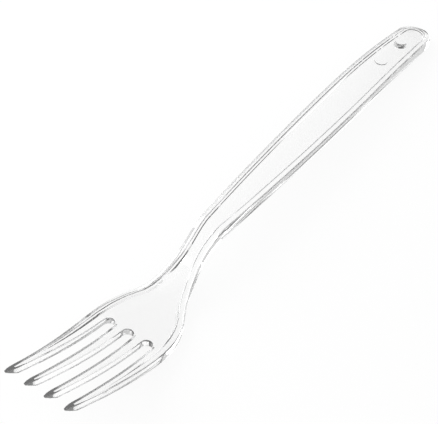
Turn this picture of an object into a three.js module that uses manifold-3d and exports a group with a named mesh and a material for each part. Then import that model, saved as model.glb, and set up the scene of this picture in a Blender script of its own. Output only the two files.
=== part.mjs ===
// A clear plastic table fork, moulded in one piece.
// Stations are measured in mm along the fork from the tines' tips; heights are above the table it lies on.
import * as THREE from 'three';
import { mergeVertices } from 'three/addons/utils/BufferGeometryUtils.js';
import Module from 'manifold-3d';

// Plan
const LENGTH = 178.4;
const TIP_SPREAD = 19.4;
const HEAD_WIDTH = 23.1;
const SHOULDER_WIDTH = 12.6;
const NECK_WIDTH = 7;
const THROAT_WIDTH = 8.2;
const HANDLE_WIDTH = 12.3;
const END_RADIUS = 5.1;
const NECK_STATION = 62;
const HANDLE_STATION = 136;

// Tines and slots
const TINE_PITCH = 6.05;
const SLOT_DEPTH = 34;
const SLOT_WIDTH = 3;
const TINE_WIDTH = 1.65;
const POINT_LENGTH = 3.5;
const POINT_RADIUS = 0.3;
const POINT_FALL = 0.3;
const POINT_LIFT = 1.6;

// Side profile of the top edge
const TIP_RISE = 16;
const TINE_SWEEP = 1.7;
const BOWL_STATION = 46;
const CREST_STATION = 71;
const CREST_HEIGHT = 13.4;
const BEND_STATION = 140;
const BEND_DROP = 3.4;

// Height of the section, from the top edge down to the underside
const TINE_HEIGHT = 2.7;
const ROOT_HEIGHT = 3.3;
const BOWL_HEIGHT = 3.6;
const NECK_HEIGHT = 4.2;
const HANDLE_HEIGHT = 3.6;
const BOWL_PRESS = 0.25;
const END_PRESS = 0.5;

// Border that rises to a fine half-round bead, recessed floor inside the bead, and rounded edges
const BEAD_INSET = 1.58;
const BEAD_WIDTH = 0.45;
const BEAD_HEIGHT = 0.25;
const BORDER_RISE = 0.05;
const HEAD_BORDER = 1.9;
const LEDGE_WIDTH = 0.5;
const FLOOR_SLOPE = 0.16;
const HEAD_RECESS = 0.75;
const NECK_RECESS = 0.38;
const HANDLE_RECESS = 0.22;
const STEP_STATION = 76.8;
const STEP_RADIUS = 3.9;
const STEP_RUN = 0.3;
const TOP_EDGE = 0.5;
const SLOT_EDGE = 0.45;
const UNDER_EDGE = 0.5;
const WALL_LEAN = 0.08;

// Round raised ejector pads on the handle's floor, the taller one nearer the end
const PAD_RADIUS = 1.9;
const PAD_HEIGHT = 1.1;
const LOW_PAD_HEIGHT = 0.22;
const PAD_INSET = 13.1;
const PAD_PITCH = 11.1;

// Rows and segments of the surface
const TINE_ROWS = 9;
const HEAD_ROWS = 17;
const HANDLE_ROWS = 22;
const END_ROWS = 9;
const SLOT_SEGMENTS = 10;
const EDGE_SEGMENTS = 4;
const BEAD_SEGMENTS = 4;
const PAD_SEGMENTS = 28;

const { lerp, smoothstep, clamp } = THREE.MathUtils;
const wasm = await Module();
wasm.setup();

// A smooth curve through station and value pairs, read at a station.
const through = (pairs) => {
  const curve = new THREE.SplineCurve(pairs.map((pair) => new THREE.Vector2(...pair)));
  return (station) => {
    let low = 0;
    let high = 1;
    for (let i = 0; i < 40; i += 1) {
      const middle = (low + high) / 2;
      if (curve.getPoint(middle).x < station) low = middle;
      else high = middle;
    }
    return curve.getPoint(low).y;
  };
};

// Values that ease from one station to the next.
const easing = (pairs) => (station) => {
  let value = pairs[0][1];
  for (let i = 1; i < pairs.length; i += 1) {
    value += (pairs[i][1] - pairs[i - 1][1]) * smoothstep(station, pairs[i - 1][0], pairs[i][0]);
  }
  return value;
};

// Half width of the outline, from the tips to where the round end starts.
const endStation = LENGTH - END_RADIUS;
const headStation = SLOT_DEPTH + 1;
const shoulderStation = lerp(headStation, NECK_STATION, 0.56);
const halfWidth = through([
  [0, TIP_SPREAD / 2],
  [headStation / 2, lerp(TIP_SPREAD, HEAD_WIDTH, 0.6) / 2],
  [headStation, HEAD_WIDTH / 2],
  [lerp(headStation, NECK_STATION, 0.33), lerp(SHOULDER_WIDTH, HEAD_WIDTH, 0.65) / 2],
  [shoulderStation, SHOULDER_WIDTH / 2],
  [lerp(shoulderStation, NECK_STATION, 0.5), lerp(NECK_WIDTH, SHOULDER_WIDTH, 0.33) / 2],
  [NECK_STATION, NECK_WIDTH / 2],
  [lerp(NECK_STATION, HANDLE_STATION, 0.14), THROAT_WIDTH / 2],
  [lerp(NECK_STATION, HANDLE_STATION, 0.38), lerp(THROAT_WIDTH, HANDLE_WIDTH, 0.46) / 2],
  [lerp(NECK_STATION, HANDLE_STATION, 0.68), lerp(THROAT_WIDTH, HANDLE_WIDTH, 0.84) / 2],
  [HANDLE_STATION, HANDLE_WIDTH / 2],
  [lerp(HANDLE_STATION, endStation, 0.6), lerp(HANDLE_WIDTH, 2 * END_RADIUS, 0.38) / 2],
  [endStation, END_RADIUS],
]);

// How much longer a sideways step is than the same step square to the outline.
const skew = (station) => {
  const slope = (halfWidth(station + 0.05) - halfWidth(station - 0.05)) / 0.1;
  return Math.hypot(1, slope);
};

// Height of the top edge above the table.
const bowlTop = BOWL_HEIGHT - BOWL_PRESS;
const endTop = HANDLE_HEIGHT - END_PRESS;
const handleSlope = (CREST_HEIGHT - BEND_DROP - endTop) / (LENGTH - CREST_STATION);
const crest = (station) => {
  const tine = TIP_RISE * Math.max(0, 1 - station / BOWL_STATION) ** TINE_SWEEP;
  const neck = (CREST_HEIGHT - bowlTop) * smoothstep(station, BOWL_STATION, CREST_STATION);
  const handle = handleSlope * Math.max(0, station - CREST_STATION);
  const bend = BEND_DROP * Math.max(0, (station - BEND_STATION) / (LENGTH - BEND_STATION)) ** 2;
  return bowlTop + tine + neck - handle - bend;
};

// Height of the section, depth of the head's and neck's floor, and the slants above and below the points.
const sectionHeight = easing([
  [POINT_LENGTH, TINE_HEIGHT],
  [SLOT_DEPTH, ROOT_HEIGHT],
  [BOWL_STATION, BOWL_HEIGHT],
  [NECK_STATION, NECK_HEIGHT],
  [STEP_STATION + 14, HANDLE_HEIGHT],
]);
const frontRecess = easing([
  [2.6 * POINT_LENGTH, 0],
  [SLOT_DEPTH, HEAD_RECESS],
  [NECK_STATION - 5, HEAD_RECESS],
  [NECK_STATION + 6, NECK_RECESS],
]);
const borderShare = easing([
  [2.6 * POINT_LENGTH, 0],
  [SLOT_DEPTH, HEAD_BORDER],
  [NECK_STATION, HEAD_BORDER],
  [STEP_STATION, 1],
]);
const pointShare = (station) => Math.max(0, 1 - station / POINT_LENGTH);
const pointFall = (station) => POINT_FALL * pointShare(station) ** 1.5;
const pointLift = (station) => POINT_LIFT * pointShare(station);
const topHeight = (station, depth) => crest(station) - depth - pointFall(station);
const underHeight = (station) => Math.max(0, crest(station) - sectionHeight(station)) + pointLift(station);

// The border's section: insets from the outline and depths below it, over the bead and down to the floor.
const ledgeInset = BEAD_INSET + BEAD_WIDTH / 2 + LEDGE_WIDTH;
const floorInset = ledgeInset + FLOOR_SLOPE;
const borderSection = (share, floor) => {
  const section = [];
  for (let i = 0; i <= BEAD_SEGMENTS; i += 1) {
    const turn = Math.PI * (i / BEAD_SEGMENTS);
    const rise = BORDER_RISE + BEAD_HEIGHT * Math.sin(turn);
    section.push([BEAD_INSET - (BEAD_WIDTH / 2) * Math.cos(turn), -share * rise]);
  }
  section.push([ledgeInset, -share * BORDER_RISE], [floorInset, floor - share * BORDER_RISE]);
  return section;
};

// Points shared by the top and the underside, and the border that goes once around the outline.
const points = [];
const border = [];
const faces = [];

const place = (station, y, depth) => {
  points.push({ top: [station, y], under: [station, y], depth });
  return points.length - 1;
};

const edgePoint = (outer, inward, depth, over, under) => {
  points.push({
    top: [outer[0] + inward[0] * over, outer[1] + inward[1] * over],
    under: [outer[0] + inward[0] * under, outer[1] + inward[1] * under],
    depth,
  });
  return { point: points.length - 1, outer, inward, over, under };
};

const face = (a, b, c) => {
  if (a !== b && b !== c && c !== a) faces.push([a, b, c]);
};

// Fills the strip between two rows of points, each from the +Y side to the -Y side.
const fill = (front, back) => {
  const share = (row, i) => i / Math.max(1, row.length - 1);
  const across = (row, i) => (row.length === 1 ? 0 : (points[row[0]].top[1] - points[row[i]].top[1])
    / (points[row[0]].top[1] - points[row[row.length - 1]].top[1]));
  const place01 = front.length === back.length ? share : across;
  let i = 0;
  let j = 0;
  while (i < front.length - 1 || j < back.length - 1) {
    const left = i < front.length - 1;
    const right = j < back.length - 1;
    if (left && (!right || place01(front, i + 1) <= place01(back, j + 1))) {
      face(front[i], front[i + 1], back[j]);
      i += 1;
    } else {
      face(front[i], back[j + 1], back[j]);
      j += 1;
    }
  }
};

// Edges of a tine at a station, narrowing to the blunt point.
const slotMiddle = (slot) => (1 - slot) * TINE_PITCH;
const slotHalf = (station) => lerp(
  (TINE_PITCH - TINE_WIDTH) / 2,
  SLOT_WIDTH / 2,
  clamp((station - POINT_LENGTH) / (SLOT_DEPTH - POINT_LENGTH), 0, 1),
);
const tineEdges = (tine, station) => {
  const full = Math.max(station, POINT_LENGTH);
  const left = tine === 0 ? halfWidth(full) : slotMiddle(tine - 1) - slotHalf(full);
  const right = tine === 3 ? -halfWidth(full) : slotMiddle(tine) + slotHalf(full);
  const middle = (left + right) / 2;
  const share = clamp((station - POINT_RADIUS) / (POINT_LENGTH - POINT_RADIUS), 0, 1);
  const half = lerp(POINT_RADIUS, (left - right) / 2, share ** 0.6);
  return { left: middle + half, right: middle - half, middle, width: 2 * half };
};

// One row of points across a tine; the two outer tines carry the bead on their outer side.
const tineRow = (tine, station) => {
  const { left, right, middle, width } = tineEdges(tine, station);
  const over = Math.min(SLOT_EDGE, 0.24 * width);
  const under = Math.min(UNDER_EDGE, 0.27 * width);
  const rounding = (outer) => (outer ? Math.min(TOP_EDGE, 0.24 * width) : over);
  const share = borderShare(station);
  const section = borderSection(share, frontRecess(station));
  const floor = section[section.length - 1][1];
  const onLeft = edgePoint([station, left], [0, -1], tine === 0 ? 0 : floor, rounding(tine === 0), under);
  const onRight = edgePoint([station, right], [0, 1], tine === 3 ? 0 : floor, rounding(tine === 3), under);
  const squeeze = Math.min(1, (0.56 * width) / floorInset);
  const beadRow = (edge, side) => section.map(([inset, depth]) => {
    const beyond = Math.max(inset * squeeze, Math.max(rounding(true), under) + 0.05 * inset * squeeze);
    return place(station, edge - side * beyond, depth);
  });
  let inside = [place(station, middle, floor)];
  if (tine === 0) inside = beadRow(left, 1);
  if (tine === 3) inside = beadRow(right, -1).reverse();
  return { onLeft, onRight, row: [onLeft.point, ...inside, onRight.point] };
};

// A tine from its blunt point to the slots' closed ends.
const buildTine = (tine) => {
  const tip = place(POINT_RADIUS, tineEdges(tine, 0).middle, tine % 3 ? frontRecess(0) : 0);
  const rows = [];
  for (let i = 1; i < 4; i += 1) rows.push(tineRow(tine, lerp(POINT_RADIUS, POINT_LENGTH, i / 3)));
  for (let i = 1; i <= TINE_ROWS; i += 1) rows.push(tineRow(tine, lerp(POINT_LENGTH, SLOT_DEPTH, i / TINE_ROWS)));
  fill([tip], rows[0].row);
  for (let i = 1; i < rows.length; i += 1) fill(rows[i - 1].row, rows[i].row);
  const nose = [];
  for (let i = 0; i <= 6; i += 1) {
    const turn = Math.PI * (0.5 - i / 6);
    const inward = [Math.cos(turn), -Math.sin(turn)];
    const [station, y] = points[tip].top;
    const outer = [station - POINT_RADIUS * inward[0], y - POINT_RADIUS * inward[1]];
    nose.push({ point: tip, outer, inward, over: POINT_RADIUS, under: POINT_RADIUS });
  }
  return { rows, nose, root: rows[rows.length - 1] };
};

// A slot's round closed end, without the two points that the tines beside it already have.
const buildSlotEnd = (slot) => {
  const ring = [];
  for (let i = 1; i < SLOT_SEGMENTS; i += 1) {
    const turn = Math.PI * (0.5 - i / SLOT_SEGMENTS);
    const inward = [Math.cos(turn), Math.sin(turn)];
    const outer = [SLOT_DEPTH + inward[0] * SLOT_WIDTH / 2, slotMiddle(slot) + inward[1] * SLOT_WIDTH / 2];
    ring.push(edgePoint(outer, inward, HEAD_RECESS - BORDER_RISE, SLOT_EDGE, UNDER_EDGE));
  }
  return ring;
};

// The border's points on one side of a body row.
const rimSide = (station, side, recess, bow) => {
  const half = halfWidth(station);
  const stretch = skew(station);
  const edge = edgePoint([station, side * half], [0, -side * stretch], 0, TOP_EDGE, UNDER_EDGE);
  const section = borderSection(borderShare(station), recess);
  const bead = section.slice(0, -1).map(([inset, depth]) => place(station, side * (half - inset * stretch), depth));
  const reach = half - floorInset * stretch;
  const depth = section[section.length - 1][1];
  const foot = place(station - bow(reach), side * reach, depth);
  return { edge, rim: [edge.point, ...bead], foot, reach, depth };
};

// A row of points across the head, neck or handle.
const bodyRow = (station, recess, inner, bow = () => 0) => {
  const left = rimSide(station, 1, recess, bow);
  const right = rimSide(station, -1, recess, bow);
  const { depth } = left;
  const ys = inner ?? [0.5 * left.reach, 0, -0.5 * left.reach];
  return {
    onLeft: left.edge,
    onRight: right.edge,
    leftRim: [...left.rim, left.foot],
    floor: [left.foot, ...ys.map((y) => place(station - bow(y), y, depth)), right.foot],
    rightRim: [right.foot, ...right.rim.reverse()],
  };
};

const fillBody = (front, back) => {
  fill(front.leftRim, back.leftRim);
  fill(front.floor, back.floor);
  fill(front.rightRim, back.rightRim);
};

// Tines, slot ends and the row that joins them to the head.
const tines = [0, 1, 2, 3].map(buildTine);
const slotEnds = [0, 1, 2].map(buildSlotEnd);
const rootRow = tines.flatMap(({ root }, i) => [...root.row, ...(slotEnds[i] ?? []).map((edge) => edge.point)]);
const rimCount = BEAD_SEGMENTS + 4;
const rootFloor = rootRow.slice(rimCount - 1, 1 - rimCount);
const root = { leftRim: rootRow.slice(0, rimCount), floor: rootFloor, rightRim: rootRow.slice(-rimCount) };
const joinStation = SLOT_DEPTH + SLOT_WIDTH / 2 + UNDER_EDGE + 0.9;
const joinYs = rootFloor.slice(1, -1).map((point) => points[point].top[1]);

// Rows of the head and neck, the rounded step in the floor, and the handle.
const rows = [bodyRow(joinStation, frontRecess(joinStation), joinYs)];
for (let i = 1; i <= HEAD_ROWS; i += 1) {
  const station = lerp(joinStation, STEP_STATION - 2, i / HEAD_ROWS);
  rows.push(bodyRow(station, frontRecess(station)));
}
const bow = (y) => y ** 2 / (2 * STEP_RADIUS);
rows.push(bodyRow(STEP_STATION, NECK_RECESS, undefined, bow));
rows.push(bodyRow(STEP_STATION + STEP_RUN, HANDLE_RECESS, undefined, bow));
for (let i = 1; i <= HANDLE_ROWS; i += 1) {
  rows.push(bodyRow(lerp(STEP_STATION + STEP_RUN, endStation, i / HANDLE_ROWS), HANDLE_RECESS));
}

// The handle's round end: the border and floor turn about its middle.
const handleFloor = HANDLE_RECESS - BORDER_RISE;
const endEdge = (turn, side) => {
  const inward = [-Math.sin(turn), -side * Math.cos(turn)];
  const at = (inset) => [endStation - inward[0] * (END_RADIUS - inset), -inward[1] * (END_RADIUS - inset)];
  const edge = edgePoint(at(0), inward, 0, TOP_EDGE, UNDER_EDGE);
  const line = borderSection(1, HANDLE_RECESS).map(([inset, depth]) => place(...at(inset), depth));
  return { edge, rim: [edge.point, ...line.slice(0, -1)], foot: line[line.length - 1] };
};
for (let i = 1; i < END_ROWS; i += 1) {
  const turn = (Math.PI / 2) * (i / END_ROWS);
  const left = endEdge(turn, 1);
  const right = endEdge(turn, -1);
  const [station, reach] = points[left.foot].top;
  rows.push({
    onLeft: left.edge,
    onRight: right.edge,
    leftRim: [...left.rim, left.foot],
    floor: [left.foot, ...[0.5, 0, -0.5].map((share) => place(station, share * reach, handleFloor)), right.foot],
    rightRim: [right.foot, ...right.rim.reverse()],
  });
}
const apex = endEdge(Math.PI / 2, 1);
const apexRim = [...apex.rim, apex.foot];

fillBody(root, rows[0]);
for (let i = 1; i < rows.length; i += 1) fillBody(rows[i - 1], rows[i]);
fillBody(rows[rows.length - 1], { leftRim: apexRim, floor: [apex.foot], rightRim: [...apexRim].reverse() });

// The border runs from the handle's end along +Y, around the tines and slots, and back along -Y.
border.push(apex.edge, ...rows.map((row) => row.onLeft).reverse());
tines.forEach((tine, i) => {
  border.push(...tine.rows.map((row) => row.onLeft).reverse(), ...tine.nose);
  border.push(...tine.rows.map((row) => row.onRight), ...(slotEnds[i] ?? []));
});
border.push(...rows.map((row) => row.onRight));

// Surface: top, underside, and a wall with rounded edges along the border.
const positions = [];
const vertex = (station, y, height) => positions.push(station - LENGTH / 2, y, height) / 3 - 1;
const topIds = points.map(({ top, depth }) => vertex(...top, topHeight(top[0], depth)));
const underIds = points.map(({ under }) => vertex(...under, underHeight(under[0])));
const indices = [];
const triangle = (a, b, c) => {
  if (a !== b && b !== c && c !== a) indices.push(a, b, c);
};
faces.forEach(([a, b, c]) => {
  triangle(topIds[a], topIds[b], topIds[c]);
  triangle(underIds[c], underIds[b], underIds[a]);
});
const walls = border.map(({ point, outer, inward, over, under }) => {
  const { depth } = points[point];
  const ring = [topIds[point]];
  for (let k = 1; k <= EDGE_SEGMENTS; k += 1) {
    const turn = (Math.PI / 2) * (k / EDGE_SEGMENTS);
    const inset = over * (1 - Math.sin(turn));
    const station = outer[0] + inward[0] * inset;
    const height = topHeight(station, depth) - over * (1 - Math.cos(turn));
    ring.push(vertex(station, outer[1] + inward[1] * inset, height));
  }
  for (let k = EDGE_SEGMENTS; k >= 1; k -= 1) {
    const turn = (Math.PI / 2) * (k / EDGE_SEGMENTS);
    const inset = lerp(under, WALL_LEAN, Math.sin(turn));
    const station = outer[0] + inward[0] * inset;
    const height = underHeight(station) + under * (1 - Math.cos(turn));
    ring.push(vertex(station, outer[1] + inward[1] * inset, height));
  }
  ring.push(underIds[point]);
  return ring;
});
walls.forEach((ring, i) => {
  const next = walls[(i + 1) % walls.length];
  for (let k = 1; k < ring.length; k += 1) {
    triangle(ring[k - 1], ring[k], next[k - 1]);
    triangle(next[k - 1], ring[k], next[k]);
  }
});

// Geometry to and from solids for the joined pads.
const toSolid = (geometry) => {
  geometry.deleteAttribute('normal');
  geometry.deleteAttribute('uv');
  const merged = mergeVertices(geometry, 1e-5);
  const mesh = new wasm.Mesh({
    numProp: 3,
    vertProperties: new Float32Array(merged.attributes.position.array),
    triVerts: new Uint32Array(merged.index.array),
  });
  return new wasm.Manifold(mesh);
};
const toGeometry = (solid) => {
  const mesh = solid.getMesh();
  const geometry = new THREE.BufferGeometry();
  geometry.setAttribute('position', new THREE.BufferAttribute(new Float32Array(mesh.vertProperties), 3));
  geometry.setIndex(new THREE.BufferAttribute(new Uint32Array(mesh.triVerts), 1));
  return geometry;
};

const blank = new THREE.BufferGeometry();
blank.setAttribute('position', new THREE.Float32BufferAttribute(positions, 3));
blank.setIndex(indices);
let solid = toSolid(blank);

// Raised round pads with rounded edges, square to the floor.
const buildPad = (height) => {
  const profile = [new THREE.Vector2(0, -1), new THREE.Vector2(PAD_RADIUS, -1)];
  const round = 0.7 * height;
  for (let i = 0; i <= 4; i += 1) {
    const turn = (Math.PI / 2) * (i / 4);
    const across = PAD_RADIUS - round * (1 - Math.cos(turn));
    profile.push(new THREE.Vector2(across, height - round * (1 - Math.sin(turn))));
  }
  profile.push(new THREE.Vector2(0, height));
  return new THREE.LatheGeometry(profile, PAD_SEGMENTS);
};
[PAD_HEIGHT, LOW_PAD_HEIGHT].forEach((height, i) => {
  const station = LENGTH - PAD_INSET - i * PAD_PITCH;
  const slope = crest(station + 0.5) - crest(station - 0.5);
  const pad = buildPad(height);
  pad.rotateX(Math.PI / 2);
  pad.rotateY(-Math.atan(slope));
  pad.translate(station - LENGTH / 2, 0, topHeight(station, handleFloor));
  solid = solid.add(toSolid(pad));
});

const geometry = toGeometry(solid);
geometry.computeVertexNormals();
const clear = new THREE.MeshStandardMaterial({ color: 0xeef1f1, roughness: 0.12, metalness: 0 });
clear.transparent = true;
clear.opacity = 0.3;
const fork = new THREE.Mesh(geometry, clear);
fork.name = 'fork';

const group = new THREE.Group();
group.name = 'plastic_fork';
group.add(fork);

export default group;
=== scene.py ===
import logging
import math
from dataclasses import dataclass, field
from enum import Enum

import bmesh
import bpy
from mathutils import Matrix, Vector


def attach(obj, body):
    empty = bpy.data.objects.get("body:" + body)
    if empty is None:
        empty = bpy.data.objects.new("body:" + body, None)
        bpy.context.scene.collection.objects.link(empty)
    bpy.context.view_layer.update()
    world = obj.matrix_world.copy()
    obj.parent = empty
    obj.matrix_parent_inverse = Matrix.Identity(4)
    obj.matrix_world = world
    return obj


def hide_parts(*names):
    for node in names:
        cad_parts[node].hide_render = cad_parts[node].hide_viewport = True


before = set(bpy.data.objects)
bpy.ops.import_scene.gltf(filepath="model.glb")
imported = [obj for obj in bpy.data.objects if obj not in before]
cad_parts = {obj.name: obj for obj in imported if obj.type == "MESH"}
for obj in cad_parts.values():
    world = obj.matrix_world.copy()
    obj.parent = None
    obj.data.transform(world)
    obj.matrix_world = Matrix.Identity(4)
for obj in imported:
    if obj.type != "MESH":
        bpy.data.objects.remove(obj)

LOG = logging.getLogger("clear_fork")
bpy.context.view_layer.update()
MM = 0.001

Colour = tuple[float, float, float, float]
Point = tuple[float, float, float]
Span = tuple[float, float]

WHITE: Colour = (1.0, 1.0, 1.0, 1.0)


class Ray(Enum):
    """Kinds of ray that a Light Path node tells apart."""

    CAMERA = "Is Camera Ray"
    GLOSSY = "Is Glossy Ray"
    TRANSMISSION = "Is Transmission Ray"
    DIFFUSE = "Is Diffuse Ray"
    SHADOW = "Is Shadow Ray"


class NodeSheet:
    """A node tree with short calls for placing and joining its nodes."""

    def __init__(self, tree: bpy.types.NodeTree) -> None:
        """Takes over a tree and clears it.

        Args:
            tree: The node tree of a material, world or group.
        """
        self.tree = tree
        tree.nodes.clear()

    def add(
        self, kind: str, settings: dict[str, object] | None = None, **sockets: object
    ) -> bpy.types.Node:
        """Places a node.

        Args:
            kind: The node's type name, without its ShaderNode prefix where it has one.
            settings: Properties of the node itself.
            **sockets: Input sockets by name, with underscores for spaces, as plain values
                or as output sockets to join.

        Returns:
            The new node.
        """
        node = self.tree.nodes.new(kind if kind.startswith("NodeGroup") else "ShaderNode" + kind)
        for name, value in (settings or {}).items():
            setattr(node, name, value)
        for name, value in sockets.items():
            self.feed(node.inputs[name.replace("_", " ")], value)
        return node

    def feed(self, socket: bpy.types.NodeSocket, value: object) -> None:
        """Joins a socket to another one, or sets its plain value.

        Args:
            socket: The input socket.
            value: An output socket, or the plain value.
        """
        if isinstance(value, bpy.types.NodeSocket):
            self.tree.links.new(value, socket)
        else:
            socket.default_value = value

    def highest(self, *values: bpy.types.NodeSocket) -> bpy.types.NodeSocket:
        """Takes the highest of several values.

        Args:
            *values: Output sockets.

        Returns:
            The socket with the highest of them.
        """
        top = values[0]
        for value in values[1:]:
            node = self.add("Math", {"operation": "MAXIMUM"})
            self.feed(node.inputs[0], top)
            self.feed(node.inputs[1], value)
            top = node.outputs[0]
        return top


@dataclass(frozen=True)
class FlowRipple:
    """Long, faint waves that the melt leaves along a moulding's polished faces.

    Attributes:
        name: The node group's name.
        stretch: Waves per metre along each axis.
        detail: Finer waves on top of the long ones.
    """

    name: str = "flow_ripple"
    stretch: Point = (45.0, 160.0, 160.0)
    detail: float = 1.5

    def group(self) -> bpy.types.NodeTree:
        """Makes the node group.

        Returns:
            A group from object coordinates to a height.
        """
        tree = bpy.data.node_groups.new(self.name, "ShaderNodeTree")
        tree.interface.new_socket("Vector", in_out="INPUT", socket_type="NodeSocketVector")
        tree.interface.new_socket("Height", in_out="OUTPUT", socket_type="NodeSocketFloat")
        sheet = NodeSheet(tree)
        given = sheet.add("NodeGroupInput")
        drawn = sheet.add("Mapping", Vector=given.outputs["Vector"], Scale=self.stretch)
        waves = sheet.add("TexNoise", Vector=drawn.outputs[0], Scale=1.0, Detail=self.detail)
        sheet.add("NodeGroupOutput", Height=waves.outputs["Fac"])
        return tree


@dataclass(frozen=True)
class HandlingWear:
    """Faint haze and hair-fine scratches from packing, as a roughness.

    Attributes:
        name: The node group's name.
        haze_scale: Haze clouds per metre.
        haze_detail: Finer clouds inside the haze.
        haze_span: Noise levels between which clear plastic turns hazed.
        scratch_stretch: Scratch noise per metre along each axis.
        scratch_turn: Turn of the scratches about the upright axis, in radians.
        scratch_detail: Finer noise inside the scratches.
        scratch_span: Noise levels between which a scratch starts and is full.
        clear: Roughness of untouched plastic.
        hazed: Roughness of the thickest haze.
        scratched: Roughness inside a scratch.
    """

    name: str = "handling_wear"
    haze_scale: float = 110.0
    haze_detail: float = 3.0
    haze_span: Span = (0.4, 0.75)
    scratch_stretch: Point = (900.0, 9000.0, 2500.0)
    scratch_turn: float = math.radians(24.0)
    scratch_detail: float = 1.0
    scratch_span: Span = (0.72, 0.8)
    clear: float = 0.008
    hazed: float = 0.035
    scratched: float = 0.16

    def group(self) -> bpy.types.NodeTree:
        """Makes the node group.

        Returns:
            A group from object coordinates to a roughness.
        """
        tree = bpy.data.node_groups.new(self.name, "ShaderNodeTree")
        tree.interface.new_socket("Vector", in_out="INPUT", socket_type="NodeSocketVector")
        tree.interface.new_socket("Roughness", in_out="OUTPUT", socket_type="NodeSocketFloat")
        sheet = NodeSheet(tree)
        place = sheet.add("NodeGroupInput").outputs["Vector"]
        cloud = sheet.add(
            "TexNoise", Vector=place, Scale=self.haze_scale, Detail=self.haze_detail
        )
        haze = sheet.add(
            "MapRange",
            Value=cloud.outputs["Fac"],
            From_Min=self.haze_span[0],
            From_Max=self.haze_span[1],
            To_Min=self.clear,
            To_Max=self.hazed,
        )
        turned = sheet.add("Mapping", Vector=place, Rotation=(0.0, 0.0, self.scratch_turn))
        drawn = sheet.add("Mapping", Vector=turned.outputs[0], Scale=self.scratch_stretch)
        hairs = sheet.add(
            "TexNoise", Vector=drawn.outputs[0], Scale=1.0, Detail=self.scratch_detail
        )
        scratch = sheet.add(
            "MapRange",
            Value=hairs.outputs["Fac"],
            From_Min=self.scratch_span[0],
            From_Max=self.scratch_span[1],
            To_Min=0.0,
            To_Max=self.scratched,
        )
        worn = sheet.highest(haze.outputs[0], scratch.outputs[0])
        sheet.add("NodeGroupOutput", Roughness=worn)
        return tree


@dataclass(frozen=True)
class ClearPolystyrene:
    """Clear, polished moulding plastic that bends light strongly and lets lamps through.

    Attributes:
        name: The material's name.
        tint: Colour of the plastic.
        shade: Share of the light that each surface lets straight through to the ground.
        ior: Index of refraction.
        haze: Strength of a painted glow, a faint even white emission that lightens the plastic
            and stands in for light scattered inside it.
        ripple_depth: Depth of the flow waves.
        ripple_strength: Share of the flow waves that shows.
        ripple: The flow waves.
        wear: The haze and scratches.
    """

    name: str = "clear_polystyrene"
    tint: Colour = (0.986, 0.987, 0.986, 1.0)
    shade: Colour = (0.95, 0.95, 0.95, 1.0)
    ior: float = 1.59
    haze: float = 0.02
    ripple_depth: float = 0.04 * MM
    ripple_strength: float = 0.12
    ripple: FlowRipple = FlowRipple()
    wear: HandlingWear = HandlingWear()

    def material(self) -> bpy.types.Material:
        """Makes the material.

        Returns:
            The finished material.
        """
        made = bpy.data.materials.new(self.name)
        made.use_nodes = True
        sheet = NodeSheet(made.node_tree)
        place = sheet.add("TexCoord").outputs["Object"]
        waves = sheet.add("Group", {"node_tree": self.ripple.group()}, Vector=place)
        wear = sheet.add("Group", {"node_tree": self.wear.group()}, Vector=place)
        bump = sheet.add(
            "Bump",
            Strength=self.ripple_strength,
            Distance=self.ripple_depth,
            Height=waves.outputs["Height"],
        )
        plastic = sheet.add(
            "BsdfPrincipled",
            Base_Color=self.tint,
            Roughness=wear.outputs["Roughness"],
            IOR=self.ior,
            Normal=bump.outputs[0],
            Transmission_Weight=1.0,
            # Painted glow: a faint white emission lightens the plastic everywhere, standing in
            # for light scattered inside it.
            Emission_Color=WHITE,
            Emission_Strength=self.haze,
        )
        clear = sheet.add("BsdfTransparent", Color=self.shade)
        path = sheet.add("LightPath")
        shadow = sheet.add("MixShader", Fac=path.outputs[Ray.SHADOW.value])
        sheet.feed(shadow.inputs[1], plastic.outputs[0])
        sheet.feed(shadow.inputs[2], clear.outputs[0])
        spill = sheet.add("MixShader", Fac=path.outputs[Ray.DIFFUSE.value])
        sheet.feed(spill.inputs[1], shadow.outputs[0])
        sheet.feed(spill.inputs[2], clear.outputs[0])
        sheet.add("OutputMaterial", Surface=spill.outputs[0])
        return made


@dataclass(frozen=True)
class WhiteGround:
    """Matt white sheet under the fork, which reads as white and still takes its shadow.

    Attributes:
        name: The material's name.
        colour: Colour of the sheet under the lamps.
        lift: White added for the camera, also in mirrored and see-through views.
    """

    name: str = "white_ground"
    colour: Colour = (0.8, 0.8, 0.8, 1.0)
    lift: float = 0.36

    def material(self) -> bpy.types.Material:
        """Makes the material.

        Returns:
            The finished material.
        """
        made = bpy.data.materials.new(self.name)
        made.use_nodes = True
        sheet = NodeSheet(made.node_tree)
        path = sheet.add("LightPath")
        viewing = (Ray.CAMERA, Ray.GLOSSY, Ray.TRANSMISSION)
        seen = sheet.highest(*(path.outputs[ray.value] for ray in viewing))
        strength = sheet.add("Math", {"operation": "MULTIPLY"})
        sheet.feed(strength.inputs[0], seen)
        sheet.feed(strength.inputs[1], self.lift)
        matt = sheet.add("BsdfDiffuse", Color=self.colour)
        glow = sheet.add("Emission", Color=WHITE, Strength=strength.outputs[0])
        both = sheet.add("AddShader")
        sheet.feed(both.inputs[0], matt.outputs[0])
        sheet.feed(both.inputs[1], glow.outputs[0])
        sheet.add("OutputMaterial", Surface=both.outputs[0])
        return made


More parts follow.
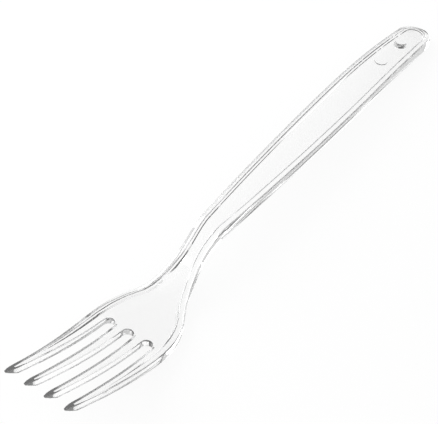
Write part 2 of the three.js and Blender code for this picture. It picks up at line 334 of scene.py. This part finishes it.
@dataclass
class ForkMoulding:
    """The fork itself, one moulding, with its sharp folds rounded off.

    Attributes:
        node: The CAD node that the piece replaces.
        name: The piece's name.
        slot: Name of a material slot; not used.
        weld: Distance within which the CAD triangles' corners are joined.
        flatness: Largest fold across which two triangles become one face.
        squareness: Largest departure of such a face's corners from square.
        fold: Fold above which an edge is rounded.
        fillet: Width of the rounding.
        fillet_segments: Faces across the rounding.
        fillet_profile: Roundness of the rounding, where 0.5 is a circle's arc.
        area_weight: Weight of large faces in the even normals.
        finish: The plastic.
    """

    node: str = "fork"
    name: str = "fork_moulding"
    slot: str = "clear_plastic"
    weld: float = 0.002 * MM
    flatness: float = math.radians(50.0)
    squareness: float = math.radians(60.0)
    fold: float = math.radians(45.0)
    fillet: float = 0.02 * MM
    fillet_segments: int = 2
    fillet_profile: float = 0.5
    area_weight: int = 50
    finish: ClearPolystyrene = field(default_factory=ClearPolystyrene)

    def shape(self) -> bmesh.types.BMesh:
        """Copies the CAD node, joins its triangles and rounds its folds.

        Returns:
            The finished shape, for the caller to free.
        """
        shape = bmesh.new()
        shape.from_mesh(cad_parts[self.node].data)
        bmesh.ops.remove_doubles(shape, verts=shape.verts, dist=self.weld)
        bmesh.ops.join_triangles(
            shape,
            faces=shape.faces,
            angle_face_threshold=self.flatness,
            angle_shape_threshold=self.squareness,
        )
        bmesh.ops.bevel(
            shape,
            geom=[edge for edge in shape.edges if edge.calc_face_angle(0.0) > self.fold],
            offset=self.fillet,
            offset_type="OFFSET",
            segments=self.fillet_segments,
            profile=self.fillet_profile,
            affect="EDGES",
            clamp_overlap=True,
            material=-1,
        )
        for face in shape.faces:
            face.smooth = True
        return shape

    def build(self) -> bpy.types.Object:
        """Builds the dressed fork over its CAD node.

        Returns:
            The finished piece.
        """
        shape = self.shape()
        mesh = bpy.data.meshes.new(self.name)
        shape.to_mesh(mesh)
        shape.free()
        mesh.materials.append(self.finish.material())
        piece = bpy.data.objects.new(self.name, mesh)
        bpy.context.scene.collection.objects.link(piece)
        even = piece.modifiers.new("even", "WEIGHTED_NORMAL")
        even.mode = "FACE_AREA"
        even.weight = self.area_weight
        even.keep_sharp = True
        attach(piece, "root")
        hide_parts(self.node)
        return piece


@dataclass(frozen=True)
class SoftLamp:
    """Flat soft lamp that faces the fork.

    Attributes:
        name: The lamp's name.
        toward: Direction from the fork's middle to the lamp.
        along: Direction of the lamp's length.
        distance: Metres from the fork's middle.
        width: Metres across the lamp.
        length: Metres along the lamp.
        power: Watts.
    """

    name: str
    toward: Point
    along: Point
    distance: float
    width: float
    length: float
    power: float

    def build(self) -> bpy.types.Object:
        """Hangs the lamp.

        Returns:
            The lamp.
        """
        data = bpy.data.lights.new(self.name, "AREA")
        data.shape = "RECTANGLE"
        data.size = self.width
        data.size_y = self.length
        data.energy = self.power
        made = bpy.data.objects.new(self.name, data)
        way = Vector(self.toward).normalized()
        across = Vector(self.along).cross(way).normalized()
        made.location = way * self.distance
        made.rotation_euler = Matrix((across, way.cross(across), way)).transposed().to_euler()
        bpy.context.scene.collection.objects.link(made)
        return made


@dataclass
class Studio:
    """White ground, even pale surroundings and soft lamps.

    Attributes:
        ground_size: Metres along the ground's sides.
        gap: Drop of the ground below the fork.
        surround: Strength of the even light from all round.
        lamps: A broad key from the left, a side lamp for the right-hand walls, and a narrow
            strip whose mirror image is the glint on the neck.
    """

    ground_size: float = 6.0
    gap: float = 0.05 * MM
    surround: float = 0.5
    lamps: tuple[SoftLamp, ...] = (
        SoftLamp(
            name="key_lamp",
            toward=(0.0, 0.82, 0.57),
            along=(1.0, 0.0, 0.0),
            distance=2.5,
            width=2.2,
            length=2.2,
            power=34.0,
        ),
        SoftLamp(
            name="side_lamp",
            toward=(0.7, -0.59, 0.4),
            along=(0.64, 0.77, 0.0),
            distance=2.0,
            width=0.6,
            length=1.1,
            power=2.4,
        ),
        SoftLamp(
            name="strip_lamp",
            toward=(-0.487, 0.381, 0.786),
            along=(0.2, 0.92, -0.33),
            distance=0.823,
            width=0.011,
            length=0.55,
            power=0.27,
        ),
    )

    def build(self) -> None:
        """Sets up the ground, the surroundings and the lamps."""
        self.ground()
        self.surroundings()
        for lamp in self.lamps:
            lamp.build()

    def ground(self) -> bpy.types.Object:
        """Makes the ground.

        Returns:
            The ground.
        """
        plane = bmesh.new()
        bmesh.ops.create_grid(plane, x_segments=1, y_segments=1, size=self.ground_size / 2)
        bmesh.ops.translate(plane, verts=plane.verts, vec=(0.0, 0.0, -self.gap))
        mesh = bpy.data.meshes.new("ground")
        plane.to_mesh(mesh)
        plane.free()
        mesh.materials.append(WhiteGround().material())
        made = bpy.data.objects.new("ground", mesh)
        bpy.context.scene.collection.objects.link(made)
        return made

    def surroundings(self) -> None:
        """Lights the world evenly."""
        world = bpy.data.worlds.new("surroundings")
        bpy.context.scene.world = world
        world.use_nodes = True
        sheet = NodeSheet(world.node_tree)
        back = sheet.add("Background", Color=WHITE, Strength=self.surround)
        sheet.add("OutputWorld", Surface=back.outputs[0])


@dataclass
class PhotoView:
    """Camera at the photograph's place.

    Attributes:
        azimuth: Degrees round the upright axis.
        elevation: Degrees above the ground.
        distance: Metres from the target.
        target: The point at the picture's middle.
        focal: Focal length in pixels of the photograph.
        width: The photograph's width in pixels.
        sensor: Sensor width in millimetres.
        clip: Nearest and farthest distance that is drawn, in metres.
    """

    azimuth: float = -54.09
    elevation: float = 48.25
    distance: float = 0.391
    target: Point = (-0.01595, 0.0, 0.01452)
    focal: float = 1500.0
    width: int = 438
    sensor: float = 36.0
    clip: Span = (0.01, 20.0)

    def build(self) -> bpy.types.Object:
        """Makes the camera and gives it to the scene.

        Returns:
            The camera.
        """
        data = bpy.data.cameras.new("photo_view")
        data.sensor_width = self.sensor
        data.lens = self.focal / self.width * self.sensor
        data.clip_start, data.clip_end = self.clip
        made = bpy.data.objects.new("photo_view", data)
        turn, rise = math.radians(self.azimuth), math.radians(self.elevation)
        level = math.cos(rise)
        back = Vector((math.sin(turn) * level, -math.cos(turn) * level, math.sin(rise)))
        made.location = Vector(self.target) + back * self.distance
        made.rotation_euler = back.to_track_quat("Z", "Y").to_euler()
        bpy.context.scene.collection.objects.link(made)
        bpy.context.scene.camera = made
        return made


def main() -> None:
    """Builds the camera, the studio and the fork in order."""
    logging.basicConfig(level=logging.INFO)
    bpy.context.scene.view_settings.view_transform = "Standard"
    PhotoView().build()
    Studio().build()
    piece = ForkMoulding().build()
    LOG.info("built %s with %d faces", piece.name, len(piece.data.polygons))


if __name__ == "__main__":
    main()
